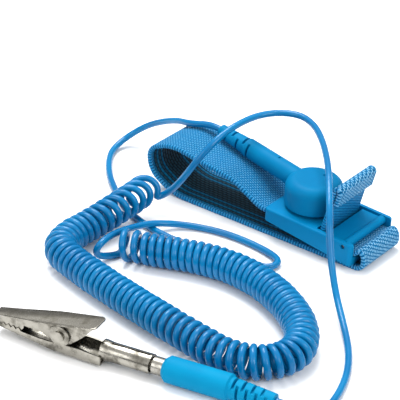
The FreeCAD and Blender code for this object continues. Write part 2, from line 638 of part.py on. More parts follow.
def side_block(outline, half=10.0):
    """A side view, a list of x and z, made into a block across the clip."""
    corners = [Vec(x, -half, z) for x, z in outline]
    return Part.Face(Part.makePolygon(corners + corners[:1])).extrude(ACROSS * 2 * half)


def teeth(start, base, rise):
    """A row of teeth from the jaw's tip backwards, points up if rise is positive."""
    row = []
    for i in range(5):
        x = start + i * size("tooth_pitch")
        row += [(x, base), (x + size("tooth_pitch") / 2, base + rise)]
    return row + [(start + 5 * size("tooth_pitch"), base)]


def make_lower_jaw():
    sheet_metal = size("clip_sheet")
    hinge = Vec(-size("hinge_x"), 0, size("hinge_rise"))
    tip = -size("jaw_tip")
    back = -size("jaw_back")
    bite = hinge.z - 1.9
    low_tip, low_mid, low_back = -0.9, -2.4, -2.95
    outline = [(tip, low_tip), (hinge.x - 3, low_mid), (back, low_back), (back, -0.3),
               (hinge.x + 5.5, hinge.z - 2.2), (hinge.x - 6.5, bite - 0.9), (tip + 9.4, bite - 0.9)]
    row = teeth(tip + 0.6, bite - size("tooth"), size("tooth"))
    outer = side_block(outline + row[::-1] + [(tip, bite - size("tooth"))])
    ear = Part.makeCylinder(size("ear_radius"), 20, hinge - ACROSS * 10, ACROSS)
    below = side_block([(hinge.x - 9, hinge.z - 6.5), (hinge.x + 9, hinge.z - 6.5),
                        (hinge.x + 9, hinge.z + 9), (hinge.x - 9, hinge.z + 9)])
    outer = outer.fuse(ear.common(below).common(side_block(
        [(hinge.x - 9, low_mid), (hinge.x + 9, low_mid), (hinge.x + 9, 20), (hinge.x - 9, 20)])))
    outer = outer.common(plan_block(size("jaw_half"), size("jaw_tip_half")))
    inner = side_block([(tip - 1, low_tip + sheet_metal), (hinge.x - 3, low_mid + sheet_metal),
                        (back + 1, low_back + sheet_metal), (back + 1, 30), (tip - 1, 30)])
    inner = inner.common(plan_block(size("jaw_half") - sheet_metal, size("jaw_tip_half") - sheet_metal))
    jaw = outer.cut(inner)
    front = -size("clip_barrel_front")
    rear = -size("clip_barrel_back")
    radius = size("barrel_bore") + sheet_metal
    barrel = Part.makeCylinder(radius, rear - front, Vec(front, 0, 0), ALONG)
    neck = Part.makeCone(2.95, radius, front - back + 0.6, Vec(back - 0.6, 0, 0), ALONG)
    room = Part.makeCylinder(size("barrel_bore"), rear - front + 2, Vec(front - 1, 0, 0), ALONG)
    throat = Part.makeCone(2.95 - sheet_metal, size("barrel_bore"), front - back + 0.6,
                           Vec(back - 0.6, 0, 0), ALONG)
    seam = Part.makeBox(rear - front - 0.8, 0.5, 3, Vec(front, -0.25, 1))
    jaw = jaw.fuse([barrel, neck]).cut(room.fuse([throat, seam]))
    bore = Part.makeCylinder(size("rivet_radius"), 20, hinge - ACROSS * 10, ACROSS)
    own_shape("clip_lower_jaw", jaw.cut(bore).removeSplitter(), plug_frame)


def make_upper_jaw():
    sheet_metal = size("clip_sheet")
    play = size("jaw_play")
    hinge = Vec(-size("hinge_x"), 0, size("hinge_rise"))
    tip = -size("jaw_tip")
    tab = -size("thumb_back")
    bite = hinge.z - 1.9 + play
    top_tip, top_mid, top_tab = 2.3, size("jaw_roof"), size("thumb_rise")
    row = teeth(tip + 0.6 + size("tooth_pitch") / 2, bite, -size("tooth"))

    def top_at(x):
        """Height of the jaw's top at a distance along it."""
        if x < hinge.x:
            return top_tip + (top_mid - top_tip) * (x - tip) / (hinge.x - tip)
        return top_mid + (top_tab - top_mid) * (x - hinge.x) / (tab - hinge.x)

    outline = [(tip, top_tip), (hinge.x, top_mid), (tab - 1.0, top_tab - 0.3), (tab - 1.0, top_tab - 0.8),
               (hinge.x + 6.5, hinge.z + 1.0), (hinge.x + 2.6, hinge.z - 2.2),
               (hinge.x - 2.6, hinge.z - 2.2), (hinge.x - 6.0, bite + 0.9), (tip + 9.6, bite + 0.9)]
    outer = side_block(outline + row[::-1] + [(tip, bite)])
    half = size("jaw_half") - sheet_metal - play
    tip_half = size("jaw_tip_half") - 0.1
    plate = side_block([(tip, top_tip), (hinge.x, top_mid), (tab, top_tab),
                        (tab, top_tab - sheet_metal), (hinge.x, top_mid - sheet_metal),
                        (tip, top_tip - sheet_metal)])
    plate = plate.common(plan_block(size("jaw_half"), size("jaw_tip_half")))
    corners = [edge for edge in plate.Edges if edge.BoundBox.XMin > tab - 0.01 and edge.BoundBox.YLength < 0.01]
    plate = plate.makeFillet(size("thumb_round"), corners)
    rims = [edge for edge in plate.Edges
            if edge.BoundBox.XLength > 5 and edge.CenterOfMass.z > top_at(edge.CenterOfMass.x) - 0.05]
    plate = plate.makeFillet(size("sheet_round"), rims)
    walls = outer.common(plan_block(half, tip_half))
    inner = side_block([(tip - 1, top_tip - sheet_metal), (hinge.x, top_mid - sheet_metal),
                        (tab + 1, top_tab - sheet_metal), (tab + 1, -20), (tip - 1, -20)])
    inner = inner.common(plan_block(half - sheet_metal, tip_half - sheet_metal))
    bore = Part.makeCylinder(size("rivet_radius") + size("pin_play"), 20, hinge - ACROSS * 10, ACROSS)
    own_shape("clip_upper_jaw", plate.fuse(walls.cut(inner)).cut(bore).removeSplitter(), plug_frame)


def make_clip_metal():
    half = size("jaw_half")
    at = plug_frame * Place(Vec(-size("hinge_x"), 0, size("hinge_rise")), Turn(ALONG, 90))
    shaft = rod("rivet_shaft", "Sizes.rivet_radius", "2 * Sizes.jaw_half + 1.0",
                Place(Vec(0, 0, -half - 0.5), Turn()))
    heads = [rod("rivet_head_a", "Sizes.rivet_head", "0.5", Place(Vec(0, 0, half), Turn())),
             rod("rivet_head_b", "Sizes.rivet_head", "0.5", Place(Vec(0, 0, -half - 0.5), Turn()))]
    finish(joined("clip_rivet", [shaft] + heads), "clip_rivet", at)
    coil = rod("spring_coil", "1.75", "3.4", Place(Vec(0, 0, -1.7), Turn()))
    hollow = rod("spring_hollow", "Sizes.rivet_radius + 0.2", "5", Place(Vec(0, 0, -2.5), Turn()))
    finish(cut("clip_spring", coil, [hollow]), "clip_spring", at)


make_band()
make_clasp_base()
make_clasp_lever()
make_clasp_metal()
make_snap_stud()
make_snap_socket()
make_snap_cap()
make_cap_inside()
make_cord()
make_boot()
make_banana()
make_lower_jaw()
make_upper_jaw()
make_clip_metal()
doc.recompute()

for thing in doc.Objects:
    if "Invalid" in thing.State or "Error" in thing.State:
        raise RuntimeError("%s did not build: %s" % (thing.Label, thing.State))
for node in nodes:
    if node.Shape.isNull() or not node.Shape.isValid():
        raise RuntimeError("%s has no valid shape" % node.Label)

os.makedirs("parts", exist_ok=True)
for node in nodes:
    node.Shape.exportStep("parts/%s.step" % node.Label)
    box = node.Shape.BoundBox
    print("%-20s solids %d volume %9.2f  x %.1f..%.1f y %.1f..%.1f z %.2f..%.2f" % (
        node.Label, len(node.Shape.Solids), node.Shape.Volume,
        box.XMin, box.XMax, box.YMin, box.YMax, box.ZMin, box.ZMax))
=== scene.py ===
import math
import bmesh
import bpy
import numpy as np
from mathutils import Matrix, Vector


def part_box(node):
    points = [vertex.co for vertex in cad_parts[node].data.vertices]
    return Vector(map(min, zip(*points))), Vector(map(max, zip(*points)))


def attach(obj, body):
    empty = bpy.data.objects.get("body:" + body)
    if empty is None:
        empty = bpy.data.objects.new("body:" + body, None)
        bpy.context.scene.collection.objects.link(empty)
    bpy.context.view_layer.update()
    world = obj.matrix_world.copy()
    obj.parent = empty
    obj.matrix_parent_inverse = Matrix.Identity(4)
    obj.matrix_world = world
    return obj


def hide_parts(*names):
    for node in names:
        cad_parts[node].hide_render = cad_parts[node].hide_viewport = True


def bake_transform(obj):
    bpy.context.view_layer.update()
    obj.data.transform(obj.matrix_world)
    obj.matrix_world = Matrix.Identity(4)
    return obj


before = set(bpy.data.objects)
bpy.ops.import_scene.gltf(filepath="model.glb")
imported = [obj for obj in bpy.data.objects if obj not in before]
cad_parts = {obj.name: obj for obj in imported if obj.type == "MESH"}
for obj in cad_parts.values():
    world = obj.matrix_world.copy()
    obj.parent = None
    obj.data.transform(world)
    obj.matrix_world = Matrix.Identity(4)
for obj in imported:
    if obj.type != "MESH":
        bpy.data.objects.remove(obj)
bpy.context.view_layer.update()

MM = 0.001

# ---- Table and studio light: the strap lies on a plain pale table under a large soft lamp
# overhead, a softer one at the side, and a bright room. The camera looks down at it from the
# front right. The room is white overhead with bands of grey round it, for the metal to reflect.
AZIMUTH = math.radians(39)
ELEVATION = math.radians(30)
DISTANCE = 0.560
AIM = Vector((-27.39, 0.0, -4.0)) * MM

back = Vector((math.sin(AZIMUTH) * math.cos(ELEVATION), -math.cos(AZIMUTH) * math.cos(ELEVATION),
               math.sin(ELEVATION)))
right = Vector((math.cos(AZIMUTH), math.sin(AZIMUTH), 0))
up = back.cross(right)
eye = AIM + back * DISTANCE
camera = bpy.data.objects.new("camera", bpy.data.cameras.new("camera"))
bpy.context.collection.objects.link(camera)
camera.data.lens = 166.3
camera.data.sensor_width = 36
camera.data.clip_start = 0.01
camera.matrix_world = Matrix(((right.x, up.x, back.x, eye.x), (right.y, up.y, back.y, eye.y),
                              (right.z, up.z, back.z, eye.z), (0, 0, 0, 1)))
bpy.context.scene.camera = camera
bpy.context.scene.view_settings.view_transform = "Standard"

world = bpy.data.worlds.new("room")
bpy.context.scene.world = world
world.use_nodes = True
world.node_tree.nodes["Background"].inputs["Strength"].default_value = 0.95




def lamp(name, place, aim, width, power):
    """A square area lamp at a place, facing another."""
    light = bpy.data.lights.new(name, "AREA")
    light.size = width
    light.energy = power
    thing = bpy.data.objects.new(name, light)
    bpy.context.collection.objects.link(thing)
    thing.location = place
    thing.rotation_euler = (Vector(place) - Vector(aim)).to_track_quat("Z", "Y").to_euler()


lamp("overhead", (-0.25, 0.15, 0.75), (0, 0, 0), 0.45, 7.0)
lamp("side", (0.65, -0.15, 0.40), (0, 0, 0), 0.35, 2.4)
lamp("front", (-0.15, -0.70, 0.35), (0, 0, 0), 0.40, 1.6)


class Wire:
    """A shader socket that Python arithmetic works on."""
    def __init__(self, tree, socket):
        self.tree = tree
        self.socket = socket

    def maths(self, operation, *values):
        return make_node(self.tree, "ShaderNodeMath", {"operation": operation}, list(values))[0]

    def __add__(self, other):
        return self.maths("ADD", self, other)

    def __radd__(self, other):
        return self.maths("ADD", other, self)

    def __sub__(self, other):
        return self.maths("SUBTRACT", self, other)

    def __rsub__(self, other):
        return self.maths("SUBTRACT", other, self)

    def __mul__(self, other):
        return self.maths("MULTIPLY", self, other)

    def __rmul__(self, other):
        return self.maths("MULTIPLY", other, self)

    def __truediv__(self, other):
        return self.maths("DIVIDE", self, other)

    def __pow__(self, other):
        return self.maths("POWER", self, other)

    def __abs__(self):
        return self.maths("ABSOLUTE", self)

    def fraction(self):
        return self.maths("FRACT", self)

    def sine(self):
        return self.maths("SINE", self)

    def above(self, edge):
        return self.maths("GREATER_THAN", self, edge)

    def clamped(self, low, high, to_low=0.0, to_high=1.0):
        """Moves a range smoothly onto another."""
        return make_node(self.tree, "ShaderNodeMapRange", {"interpolation_type": "SMOOTHSTEP"},
                         [self, low, high, to_low, to_high])[0]


def make_node(tree, kind, settings, values):
    """Adds a node: its settings first, then its sockets' values or links; gives its outputs."""
    made = tree.nodes.new(kind)
    for key, value in settings.items():
        if key == "stops":
            ramp = made.color_ramp
            while len(ramp.elements) < len(value):
                ramp.elements.new(0.5)
            for element, (place, colour) in zip(ramp.elements, value):
                element.position = place
                element.color = (*colour, 1)
        else:
            setattr(made, key, value)
    pairs = values.items() if isinstance(values, dict) else enumerate(values)
    for key, value in pairs:
        if value is None:
            continue
        if isinstance(value, Wire):
            tree.links.new(value.socket, made.inputs[key])
        else:
            made.inputs[key].default_value = value
    return [Wire(tree, socket) for socket in made.outputs]


class Finish:
    """A material under construction, with one method for any node."""
    def __init__(self, name, **fixed):
        self.material = bpy.data.materials.new(name)
        self.material.use_nodes = True
        self.tree = self.material.node_tree
        self.shader = self.tree.nodes["Principled BSDF"]
        for key, value in fixed.items():
            self.shader.inputs[key.replace("_", " ")].default_value = value

    def node(self, kind, settings=None, values=()):
        return make_node(self.tree, kind, settings or {}, values)

    def place(self):
        return self.node("ShaderNodeTexCoord")[3]

    def noise(self, at, scale, detail=3.0, roughness=0.5):
        return self.node("ShaderNodeTexNoise", {}, {"Vector": at, "Scale": scale, "Detail": detail,
                                                    "Roughness": roughness})[0]

    def mix(self, share, first, second):
        """One colour or the other, by share."""
        return self.node("ShaderNodeMix", {"data_type": "RGBA"},
                         {0: share, 6: rgb(first), 7: rgb(second)})[2]

    def bump(self, height, distance, strength=1.0):
        made = self.node("ShaderNodeBump", {}, {"Strength": strength, "Distance": distance,
                                                "Height": height})[0]
        self.feed("Normal", made)

    def feed(self, name, wire):
        self.tree.links.new(wire.socket, self.shader.inputs[name])


def rgb(colour):
    """A colour with its alpha, or a link as it is."""
    return (*colour, 1) if isinstance(colour, tuple) else colour


def paint(thing, finish):
    """Gives a piece one finish."""
    thing.data.materials.clear()
    thing.data.materials.append(finish.material)


ROOM_BANDS = [(0.0, 0.75), (0.46, 0.60), (0.50, 0.16), (0.56, 0.10), (0.62, 0.55), (0.70, 0.18), (0.80, 1.0)]
heading = make_node(world.node_tree, "ShaderNodeTexCoord", {}, [])[0]
height = make_node(world.node_tree, "ShaderNodeSeparateXYZ", {}, [heading])[2]
share = make_node(world.node_tree, "ShaderNodeMath", {"operation": "MULTIPLY_ADD"}, [height, 0.5, 0.5])[0]
stops = [(place, (grey, grey, grey)) for place, grey in ROOM_BANDS]
bands = make_node(world.node_tree, "ShaderNodeValToRGB", {"stops": stops}, [share])[0]
world.node_tree.links.new(bands.socket, world.node_tree.nodes["Background"].inputs["Color"])

table_finish = Finish("table", Roughness=0.6, Base_Color=(0.93, 0.93, 0.93, 1))
table = bpy.data.objects.new("table", bpy.data.meshes.new("table"))
bpy.context.collection.objects.link(table)
table.data.from_pydata([(-3, -3, 0), (3, -3, 0), (3, 3, 0), (-3, 3, 0)], [], [(0, 1, 2, 3)])
paint(table, table_finish)

# ---- Cord: a thin flexible lead leaves the cap's relief, is wound hot into a long coil that
# springs back, and leaves it again for the plug's boot. The jacket is one glossy extrusion.
CORD = 2.0 * MM
COIL_TURNS = 84.875
COIL_RADIUS = 3.8
POINTS_PER_TURN = 12

SNAP_LEAD = [
    (-23.43, 5.06, 19.27), (-26.98, 5.53, 19.69),
    (-34.8, 4.6, 17.8), (-42.0, 7.4, 15.4), (-49.6, 9.4, 11.8), (-57.0, 10.2, 7.6),
    (-62.6, 7.6, 3.0), (-63.2, 0.8, 1.1), (-58.6, -6.4, 1.1), (-52.0, -13.2, 1.1), (-45.6, -18.0, 1.1),
    (-39.0, -22.8, 1.1), (-31.4, -26.4, 1.1), (-23.4, -28.4, 1.1), (-15.2, -29.4, 1.1),
    (-5.6, -28.4, 1.1), (4.6, -26.6, 1.1), (12.6, -25.4, 1.1), (16.0, -24.7, 1.1), (17.8, -22.8, 1.2),
    (17.4, -19.8, 1.4), (12.6, -17.8, 1.2), (4.2, -16.8, 1.1), (-4.6, -17.2, 1.1),
    (-12.4, -19.2, 1.1), (-18.6, -23.2, 1.7), (-22.4, -28.8, 3.0), (-23.4, -35.0, 4.2),
    (-23.2, -41.4, 5.8), (-22.4, -47.2, 7.0), (-22.0, -51.4, 6.6), (-23.3, -51.8, 3.8),
    (-22.9, -50.2, 1.7),
]
COIL = [
    (-20.5, -45.3, 4.8), (-11.2, -42.3, 4.8), (-1.2, -38.0, 4.8), (9.5, -35.2, 4.8),
    (20.0, -35.4, 4.8), (30.4, -38.2, 4.8), (40.6, -43.4, 4.8), (48.4, -50.8, 4.8), (51.2, -58.8, 4.8),
    (47.4, -66.6, 4.8), (38.4, -70.0, 4.8), (26.0, -68.8, 4.8), (8.0, -66.4, 4.8), (-10.0, -63.6, 4.8),
    (-23.0, -60.9, 4.8), (-31.2, -58.6, 4.8), (-33.8, -52.2, 4.8), (-33.2, -44.6, 5.0),
    (-32.0, -37.8, 6.0), (-30.9, -30.0, 7.2), (-31.2, -20.6, 7.6),
]
PLUG_LEAD = [
    (-27.2, -17.4, 5.6), (-23.6, -17.0, 8.8), (-19.4, -16.8, 14.4), (-15.9, -15.2, 20.4),
    (-13.8, -11.2, 24.6), (-12.8, -5.4, 26.9), (-12.0, 0.4, 27.5), (-11.0, 6.2, 27.6),
    (-7.6, 11.8, 27.6), (-1.6, 14.6, 27.6), (4.4, 12.6, 27.6), (10.0, 8.4, 27.6), (16.4, 2.2, 27.2),
    (23.2, -5.7, 26.8), (28.8, -13.1, 25.0), (33.2, -18.9, 21.4), (35.8, -22.2, 16.2),
    (38.6, -24.8, 9.8), (43.6, -29.2, 4.4), (50.6, -35.6, 1.8), (58.0, -43.6, 1.1),
    (63.6, -52.4, 1.1), (66.8, -60.8, 1.1), (68.4, -68.2, 1.3), (67.4, -73.4, 2.6),
    (61.91, -75.50, 3.70), (58.38, -76.22, 3.70),
]


def smooth_curve(name, points, resolution):
    """A NURBS curve of order 3 through the control points, which are in millimetres."""
    curve = bpy.data.curves.new(name, "CURVE")
    curve.dimensions = "3D"
    curve.resolution_u = resolution
    spline = curve.splines.new("NURBS")
    points = np.asarray(points, float) * MM
    spline.points.add(len(points) - 1)
    spline.points.foreach_set("co", np.column_stack([points, np.ones(len(points))]).ravel())
    spline.order_u = 3
    spline.use_endpoint_u = True
    thing = bpy.data.objects.new(name, curve)
    bpy.context.collection.objects.link(thing)
    return thing


def line_of(curve_object):
    """The points along a curve's own smooth line, in metres."""
    mesh = bpy.data.meshes.new_from_object(curve_object)
    places = np.empty(len(mesh.vertices) * 3)
    mesh.vertices.foreach_get("co", places)
    bpy.data.meshes.remove(mesh)
    return places.reshape(-1, 3)


def unit(vectors):
    return vectors / np.linalg.norm(vectors, axis=-1, keepdims=True)


def coil_points():
    """Control points of the wound wire: a right-handed helix about the coil's middle line.

    At each point the turn's plane holds a level side vector and one near upright; towards the
    free end the planes lean over by a growing angle, as slack turns do.
    """
    guide = smooth_curve("coil_guide", COIL, 24)
    middle = line_of(guide) / MM
    bpy.data.objects.remove(guide)
    along = np.concatenate([[0], np.cumsum(np.linalg.norm(np.diff(middle, axis=0), axis=1))])
    share = np.linspace(0, 1, 4000)
    pitch = np.interp(share, [0, 0.02, 0.05, 0.38, 0.47, 0.56, 0.62, 0.88, 0.94, 1],
                      [4.4, 3.4, 2.25, 2.3, 2.7, 2.9, 2.3, 2.35, 2.9, 3.4])
    turned = np.concatenate([[0], np.cumsum(2 / (pitch[1:] + pitch[:-1]))])
    turned *= COIL_TURNS / turned[-1]
    turn = np.arange(0, COIL_TURNS + 1e-9, 1 / POINTS_PER_TURN)
    here = np.interp(turn, turned, share) * along[-1]
    centre = np.column_stack([np.interp(here, along, middle[:, k]) for k in range(3)])
    ahead = np.column_stack([np.interp(here + 0.4, along, middle[:, k]) for k in range(3)])
    behind = np.column_stack([np.interp(here - 0.4, along, middle[:, k]) for k in range(3)])
    axis = unit(ahead - behind)
    side = unit(np.cross(axis, (0.0, 0.0, 1.0)))
    rise = np.cross(side, axis)
    angle = np.radians(-90.0) - 2 * np.pi * turn
    left = COIL_TURNS - turn
    lean = np.radians(52.0) * np.clip(1 - left / 9.0, 0, 1) ** 1.2
    wave = 1 + 0.016 * np.sin(1.7 * turn + 0.8) * np.sin(0.61 * turn)
    radius = COIL_RADIUS / 0.968 * wave
    x = np.cos(angle) * radius
    y = np.sin(angle) * radius
    keep = ((x - y) / math.sqrt(2))[:, None]
    swing = (-(x + y) / math.sqrt(2))[:, None]
    corner = (side - rise) / math.sqrt(2)
    away = -(side + rise) / math.sqrt(2)
    turn_plane = away * np.cos(lean)[:, None] - axis * np.sin(lean)[:, None]
    return centre + corner * keep + turn_plane * swing


cord_finish = Finish("cord_jacket", IOR=1.5, Specular_IOR_Level=0.30)
spot = cord_finish.place()
shade = cord_finish.noise(spot, 60.0, 2.0)
fine = cord_finish.noise(spot, 2500.0, 2.0)
cord_finish.feed("Base Color", cord_finish.mix(shade.clamped(0.35, 0.65), (0.0, 0.138, 0.345),
                                               (0.0, 0.174, 0.400)))
cord_finish.feed("Roughness", 0.15 + 0.10 * shade)
cord_finish.bump(fine, 0.00002, 0.35)

route = np.vstack([SNAP_LEAD, coil_points(), PLUG_LEAD])
SWIVEL_SPLIT = 6
SLIDE_SPLIT = 10
swivel_join = (route[SWIVEL_SPLIT] + route[SWIVEL_SPLIT + 1]) / 2
slide_join = (route[SLIDE_SPLIT] + route[SLIDE_SPLIT + 1]) / 2


def cord_piece(name, points, resolution):
    """A curve of the cord's own thickness, and the smooth line that it follows."""
    thing = smooth_curve(name, points, resolution)
    line = line_of(thing)
    thing.data.bevel_depth = CORD / 2
    thing.data.bevel_resolution = 3
    thing.data.use_fill_caps = True
    thing.data.materials.append(cord_finish.material)
    return thing, line


def as_mesh(curve_object):
    """The same piece as a smooth mesh."""
    name = curve_object.name
    mesh = bpy.data.meshes.new_from_object(curve_object)
    bpy.data.objects.remove(curve_object)
    mesh.polygons.foreach_set("use_smooth", np.ones(len(mesh.polygons), bool))
    thing = bpy.data.objects.new(name, mesh)
    bpy.context.collection.objects.link(thing)
    return thing


swivel_curve, swivel_line = cord_piece(
    "snap_lead_start", np.vstack([route[:SWIVEL_SPLIT + 1], swivel_join]), 12)
swivel_lead = as_mesh(swivel_curve)
slide_curve, slide_line = cord_piece(
    "snap_lead_middle", np.vstack([swivel_join, route[SWIVEL_SPLIT + 1:SLIDE_SPLIT + 1], slide_join]), 12)
slide_lead = as_mesh(slide_curve)
main_cord, main_line = cord_piece("coiled_cord", np.vstack([slide_join, route[SLIDE_SPLIT + 1:]]), 3)
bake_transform(swivel_lead)
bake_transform(slide_lead)
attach(main_cord, "strap")
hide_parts("lead_snap")
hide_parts("cord_coil", "lead_plug")

# ---- Band: one elastic strap, a ribbed blue knit outside with a conductive lining bonded inside.
# It is woven as a tape with bound edges, folded at its free end into a sewn hem, and both its
# ends pass through the clasp.
BAND_HALF_WIDTH = 9.0
BAND_HALF_THICK = 0.7
BOND = 0.2
EDGE_BINDING = 1.45
BEAD = 0.95
STEP = 0.17
CLASP_CORNER = (4.5, 6.1)
CLASP_TILT = math.radians(3.0)
TAIL_LEAN = math.radians(12.0)


def on_clasp(along, high):
    """A place in the clasp's own tilted frame, as x and z."""
    return (CLASP_CORNER[0] + along * math.cos(CLASP_TILT) + high * math.sin(CLASP_TILT),
            CLASP_CORNER[1] - along * math.sin(CLASP_TILT) + high * math.cos(CLASP_TILT))


TAIL_TOP = (22.305, 18.3)
HEM_FOLD = 1.6
HEM_LENGTH = 5.2
hem_top = (TAIL_TOP[0] + math.cos(TAIL_LEAN) * HEM_FOLD, TAIL_TOP[1] - math.sin(TAIL_LEAN) * HEM_FOLD)
hem_end = (hem_top[0] - math.sin(TAIL_LEAN) * HEM_LENGTH, hem_top[1] - math.cos(TAIL_LEAN) * HEM_LENGTH)
BAND_BENDS = [
    (on_clasp(13.6, 1.7), None), (on_clasp(-3.0, 1.7), 8.0), ((-8.0, 13.366), 14.0),
    ((-31.5, 17.0), None), ((-40.3, 13.366), None), ((-39.6, 5.705), None), ((-31.0, 0.7), None),
    ((38.0, 0.7), 2.6), ((37.9, 5.2), None), ((36.7, 6.6), None), (on_clasp(30.2, 0.4), 2.0),
    (on_clasp(18.5, 0.4), 0.9), (on_clasp(*TAIL_TOP), 0.79), (on_clasp(*hem_top), 0.79),
    (on_clasp(*hem_end), None),
]


def bend_line(bends, step):
    """Straight runs joined by tangent arcs, in x and z.

    An arc's radius is the one given, or 0.45 of the shorter run over the tangent of half the turn.
    Gives the places, the unit vectors to the left of travel, and the length so far.
    """
    places = []
    lefts = []
    corners = [np.array(corner) for corner, radius in bends]
    at = corners[0]
    for before, (corner, radius), after in zip(corners, bends[1:-1], corners[2:]):
        corner = np.array(corner)
        ahead = unit(corner - before)
        beyond = unit(after - corner)
        turn = math.atan2(ahead[0] * beyond[1] - ahead[1] * beyond[0], ahead @ beyond)
        slope = math.tan(abs(turn) / 2)
        if radius is None:
            radius = 0.45 * min(np.linalg.norm(corner - before), np.linalg.norm(after - corner)) / slope
        start = corner - ahead * radius * slope
        left = np.array((-ahead[1], ahead[0]))
        run = np.linspace(0, 1, max(2, round(np.linalg.norm(start - at) / step)), endpoint=False)[:, None]
        places.append(at + (start - at) * run)
        lefts.append(np.tile(left, (len(run), 1)))
        sign = math.copysign(1, turn)
        centre = start + left * radius * sign
        swept = np.linspace(0, turn, max(4, round(abs(turn) * radius / step)), endpoint=False)
        turned = np.column_stack([left[0] * np.cos(swept) - left[1] * np.sin(swept),
                                  left[0] * np.sin(swept) + left[1] * np.cos(swept)])
        places.append(centre - turned * radius * sign)
        lefts.append(turned)
        at = corner + beyond * radius * slope
    run = np.linspace(0, 1, max(2, round(np.linalg.norm(corners[-1] - at) / step)))[:, None]
    places.append(at + (corners[-1] - at) * run)
    last = unit(corners[-1] - at)
    lefts.append(np.tile((-last[1], last[0]), (len(run), 1)))
    places = np.vstack(places)
    run_so_far = np.concatenate([[0], np.cumsum(np.linalg.norm(np.diff(places, axis=0), axis=1))])
    return places, np.vstack(lefts), run_so_far


def surface(name, grid, across, along):
    """A mesh from a grid of places, rows by columns, each column loop closed, with capped ends.

    The map's u is the length along the rows and v the place across the columns, in millimetres.
    """
    rows, columns = grid.shape[:2]
    row = np.arange(rows - 1)[:, None]
    column = np.arange(columns)[None, :]
    beside = (column + 1) % columns
    quads = np.stack([row * columns + column, row * columns + beside,
                      (row + 1) * columns + beside, (row + 1) * columns + column], -1).reshape(-1, 4)
    u = np.broadcast_to(along[:, None], (rows, columns)).ravel()
    v = np.broadcast_to(across, (rows, columns)).ravel()
    faces = quads.tolist()
    faces.append(list(range(columns))[::-1])
    faces.append(list(range((rows - 1) * columns, rows * columns)))
    mesh = bpy.data.meshes.new(name)
    mesh.from_pydata((grid.reshape(-1, 3) * MM).tolist(), [], faces)
    corner = np.empty(len(mesh.loops), np.int32)
    mesh.loops.foreach_get("vertex_index", corner)
    mesh.uv_layers.new(name="UVMap").data.foreach_set("uv", np.column_stack([u[corner], v[corner]]).ravel())
    mesh.polygons.foreach_set("use_smooth", np.ones(len(mesh.polygons), bool))
    shape = bmesh.new()
    shape.from_mesh(mesh)
    bmesh.ops.recalc_face_normals(shape, faces=shape.faces)
    shape.to_mesh(mesh)
    shape.free()
    thing = bpy.data.objects.new(name, mesh)
    bpy.context.collection.objects.link(thing)
    return thing


BEAD_FROM = 8.3
BEAD_DEPTH = 0.10


def strap(name, section, beaded):
    """Carries a closed section of places across and through the band along the band's line.

    Where beaded, the outer edge swells with the absolute sine of the length over a bead.
    """
    places, lefts, length = bend_line(BAND_BENDS, STEP)
    across, through = section.T
    swell = np.abs(np.sin(np.pi * length / BEAD))[:, None] - 1
    edge = np.clip((np.abs(across) - BEAD_FROM) / 0.5, 0, 1)[None, :] * beaded
    y = across[None, :] + np.sign(across)[None, :] * edge * swell * BEAD_DEPTH
    shift = through[None, :] * (1 + edge * swell * BEAD_DEPTH)
    grid = np.stack([places[:, :1] + lefts[:, :1] * shift, y, places[:, 1:] + lefts[:, 1:] * shift], -1)
    return surface(name, grid, across, length)


round_edge = np.linspace(-80, 80, 9)
rim = np.column_stack([8.55 + 0.45 * np.cos(np.radians(round_edge)), 0.69 * np.sin(np.radians(round_edge))])
outer_face = np.column_stack([np.linspace(-8.5, 8.5, 18), np.full(18, -0.7)])
inner_y = BAND_HALF_WIDTH - EDGE_BINDING
wrap = np.array([(8.2, 0.69), (inner_y + 0.15, 0.68), (inner_y, BOND + 0.1), (0.0, BOND)])
mirrored = np.array([(-1.0, 1.0)])
knit_section = np.vstack([outer_face, rim, wrap, (wrap[:-1] * mirrored)[::-1], (rim * mirrored)[::-1]])
lining_faces = np.linspace(-inner_y + 0.1, inner_y - 0.1, 14)
lining_section = np.vstack([
    np.column_stack([lining_faces, np.full(14, BOND + 0.1)]),
    [(inner_y - 0.05, 0.55)],
    np.column_stack([lining_faces[::-1], np.full(14, BAND_HALF_THICK - 0.03)]),
    [(-inner_y + 0.05, 0.55)]])

knit_finish = Finish("band_knit", IOR=1.45, Specular_IOR_Level=0.12)
knit_map = knit_finish.node("ShaderNodeTexCoord")[2]
run, width, _ = knit_finish.node("ShaderNodeSeparateXYZ", {}, [knit_map])
COURSE = 0.72
STITCH = 1.0
course = width / COURSE
within = course.fraction()
stitch = (run / STITCH + (course - within) * 0.37).fraction()
rounded_course = within * (1 - within) * 4
rounded_stitch = stitch * (1 - stitch) * 4
loop_height = (rounded_course * rounded_stitch) ** 0.6
from_edge = abs(width).clamped(8.15, 8.45)
bead_height = abs((run * (math.pi / BEAD)).sine())
yarn = knit_finish.noise(knit_map, 3.1, 3.0, 0.6)
broad = knit_finish.noise(knit_map, 0.11, 2.0)
height = loop_height * (1 - from_edge) + bead_height * from_edge
# The weave's colour follows the loops' height. It is darker in the gaps between loops and lighter on their
# tops: painted shade in the gaps and painted light on the loops, over the knit's own blue. Broad noise then
# varies its tone at random.
shaded_weave_colour = knit_finish.mix(height.clamped(0.12, 0.8), (0.0, 0.060, 0.170), (0.0, 0.215, 0.480))
shaded_weave_colour = knit_finish.mix(broad.clamped(0.35, 0.65) * 0.25, shaded_weave_colour, (0.0, 0.150, 0.360))
